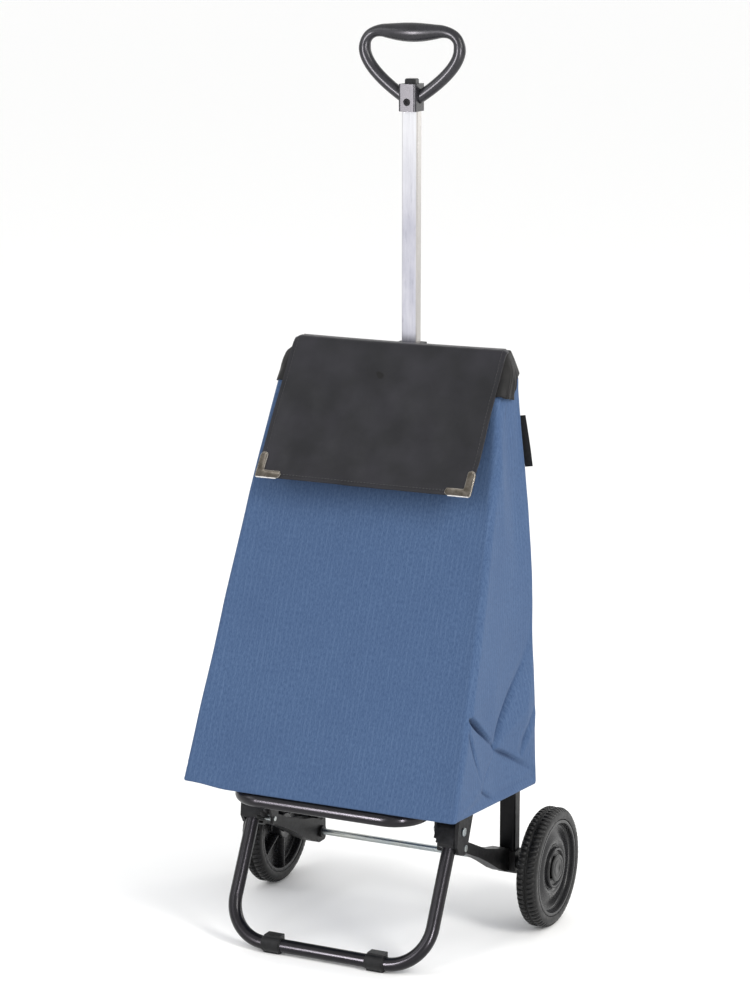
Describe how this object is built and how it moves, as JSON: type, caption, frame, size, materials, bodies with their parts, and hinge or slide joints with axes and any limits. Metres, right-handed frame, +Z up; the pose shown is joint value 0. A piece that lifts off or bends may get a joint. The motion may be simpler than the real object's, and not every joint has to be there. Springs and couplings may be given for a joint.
{
  "type": "shopping trolley",
  "caption": "Tapered fabric bag with a flap on a two-wheeled steel frame, with a folding platform and leg and a telescopic D-grip handle.",
  "frame": {"origin": "on the floor, under the middle of the box that holds the whole trolley, with the handle pulled out", "axes": "+Z up along the handle tube, +X to the right as seen from the front, +Y from the flap side towards the wheels and the handle tube"},
  "size_m": [0.3976, 0.3224, 1.0732],
  "materials": {
    "painted_steel": "satin black powder coat",
    "tube_enamel": "gloss black enamel",
    "zinc_steel": "bright zinc plate",
    "spring_steel": "bright spring wire",
    "dark_steel": "blackened steel",
    "aluminium": "bare drawn aluminium, lightly scratched",
    "arm_plastic": "black moulded polypropylene",
    "hinge_plastic": "black moulded nylon",
    "grip_plastic": "dark grey-black moulded plastic with a soft sheen",
    "button_plastic": "black moulded plastic",
    "hub_plastic": "dark grey-black moulded plastic",
    "cap_plastic": "dark grey moulded plastic",
    "tyre_rubber": "black rubber",
    "bag_fabric": "blue woven polyester with a fine vertical rib",
    "lining_fabric": "black coated nylon",
    "flap_fabric": "smooth black coated fabric",
    "webbing": "black webbing",
    "corner_metal": "worn nickel-plated sheet",
    "board": "hardboard"
  },
  "bodies": {
    "chassis": {"left_upright": "painted_steel", "right_upright": "painted_steel", "lower_crossbar": "painted_steel", "upper_crossbar": "painted_steel", "crossbar_rivets": "zinc_steel", "mast_sleeve": "painted_steel", "mast_collar": "arm_plastic", "left_side_arm": "arm_plastic", "right_side_arm": "arm_plastic", "axle": "zinc_steel", "axle_clips": "arm_plastic", "left_spacer": "arm_plastic", "right_spacer": "arm_plastic", "left_pivot_ear": "painted_steel", "right_pivot_ear": "painted_steel", "platform_pins": "zinc_steel", "bag_body": "bag_fabric", "bag_cuff": "lining_fabric", "bag_hooks": "painted_steel", "bag_straps": "webbing", "side_tag": "webbing"},
    "left_wheel": {"left_hub": "hub_plastic", "left_tyre": "tyre_rubber", "left_hub_cap": "cap_plastic"},
    "right_wheel": {"right_hub": "hub_plastic", "right_tyre": "tyre_rubber", "right_hub_cap": "cap_plastic"},
    "platform": {"platform_loop": "tube_enamel", "left_leg_bracket": "hinge_plastic", "right_leg_bracket": "hinge_plastic", "leg_pins": "zinc_steel", "stop_pins": "zinc_steel", "base_board": "board"},
    "leg": {"leg_loop": "tube_enamel", "left_leg_cap": "hinge_plastic", "right_leg_cap": "hinge_plastic", "left_foot": "hinge_plastic", "right_foot": "hinge_plastic"},
    "handle": {"handle_tube": "aluminium", "grip_block": "grip_plastic", "grip_ring": "grip_plastic", "grip_screw": "dark_steel", "button_spring": "spring_steel", "latch_spring": "spring_steel"},
    "button": {"release_button": "button_plastic", "push_rod": "zinc_steel"},
    "latch": {"latch_pin": "zinc_steel"},
    "flap": {"flap": "flap_fabric", "left_flap_corner": "corner_metal", "right_flap_corner": "corner_metal"}
  },
  "joints": [
    {"name": "left_wheel_spin", "type": "hinge", "parent": "chassis", "child": "left_wheel", "pos_m": [-0.1848, 0.08875, 0.0725], "axis": [1, 0, 0], "continuous": true},
    {"name": "right_wheel_spin", "type": "hinge", "parent": "chassis", "child": "right_wheel", "pos_m": [0.1848, 0.08875, 0.0725], "axis": [1, 0, 0], "continuous": true},
    {"name": "platform_fold", "type": "hinge", "parent": "chassis", "child": "platform", "pos_m": [0, 0.06275, 0.188], "axis": [-1, 0, 0], "range_deg": [0, 85], "deforming": ["bag_body"]},
    {"name": "leg_fold", "type": "hinge", "parent": "platform", "child": "leg", "pos_m": [0, -0.06595, 0.156], "axis": [-1, 0, 0], "range_deg": [0, 61]},
    {"name": "handle_slide", "type": "slide", "parent": "chassis", "child": "handle", "axis": [0, 0, 1], "range_m": [-0.24, 0]},
    {"name": "button_press", "type": "slide", "parent": "handle", "child": "button", "axis": [0, 0, 1], "range_m": [-0.003, 0], "stiffness_N_per_m": 700, "springref_m": 0.003, "deforming": ["button_spring"]},
    {"name": "latch_slide", "type": "slide", "parent": "handle", "child": "latch", "axis": [0, 1, 0], "range_m": [-0.003, 0], "deforming": ["latch_spring"]},
    {"name": "flap_lift", "type": "hinge", "parent": "chassis", "child": "flap", "pos_m": [0, 0.07895, 0.7012], "axis": [-1, 0, 0], "range_deg": [0, 85]}
  ],
  "couplings": [
    {"joint": "latch_slide", "follows": "button_press", "ratio": 1}
  ]
}
